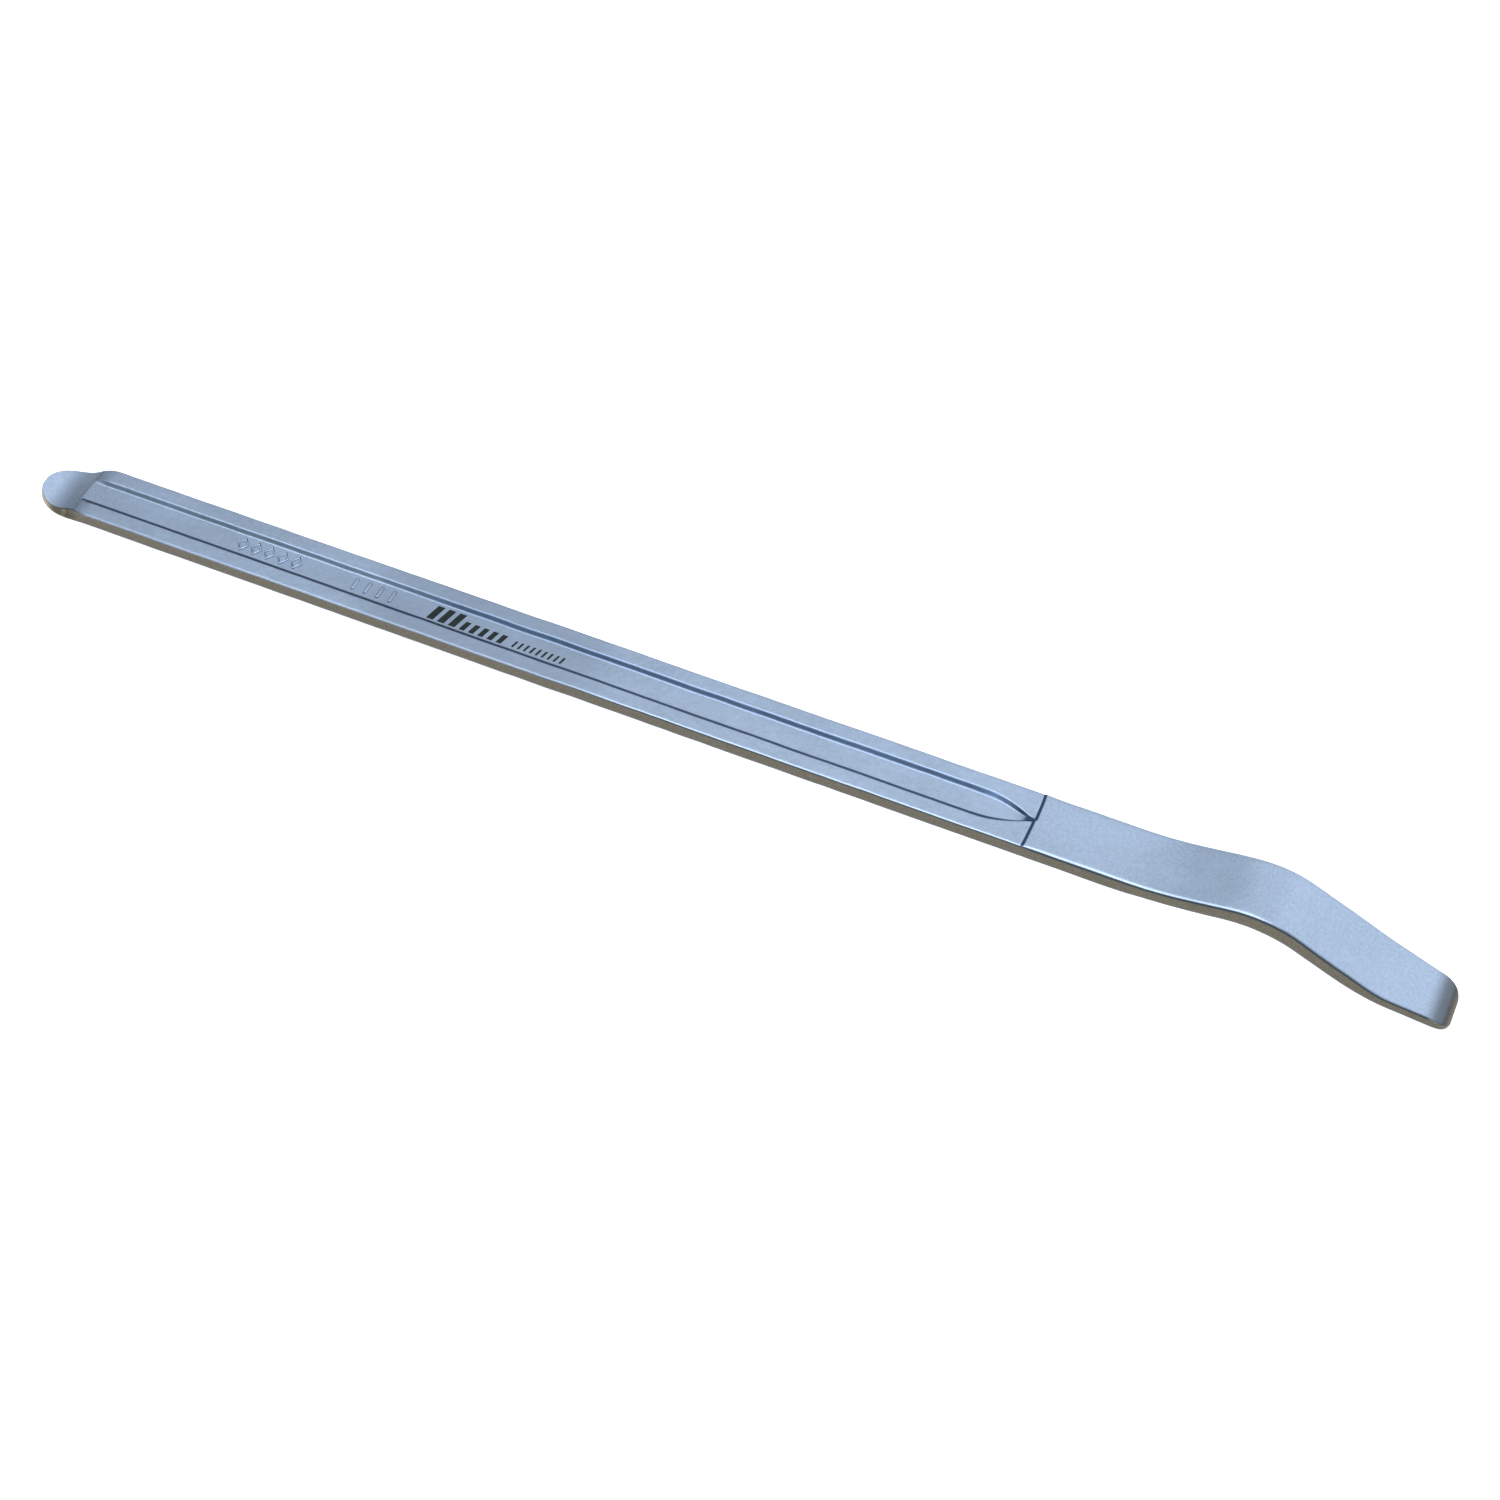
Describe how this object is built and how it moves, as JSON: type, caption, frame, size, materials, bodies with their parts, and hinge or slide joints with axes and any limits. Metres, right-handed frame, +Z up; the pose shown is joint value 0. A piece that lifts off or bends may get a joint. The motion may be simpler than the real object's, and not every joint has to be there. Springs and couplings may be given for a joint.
{
  "type": "tyre lever",
  "caption": "Forged steel tyre lever: a flat bar with a channelled shank, a thin spoon end and a humped, cranked blade end.",
  "frame": {"origin": "under the middle of the lever as it lies on a bench: centre of its box along X and Y, on the plane it rests on", "axes": "+X along the lever from the spoon to the cranked blade, +Z up from the bench with the shank's marked side on top, +Y across the width"},
  "size_m": [0.6504, 0.0298, 0.0331],
  "materials": {
    "satin_chrome": "satin",
    "black_ink": "matte"
  },
  "bodies": {
    "root": {"forged_lever": "satin_chrome", "printed_mark": "black_ink"}
  },
  "joints": []
}
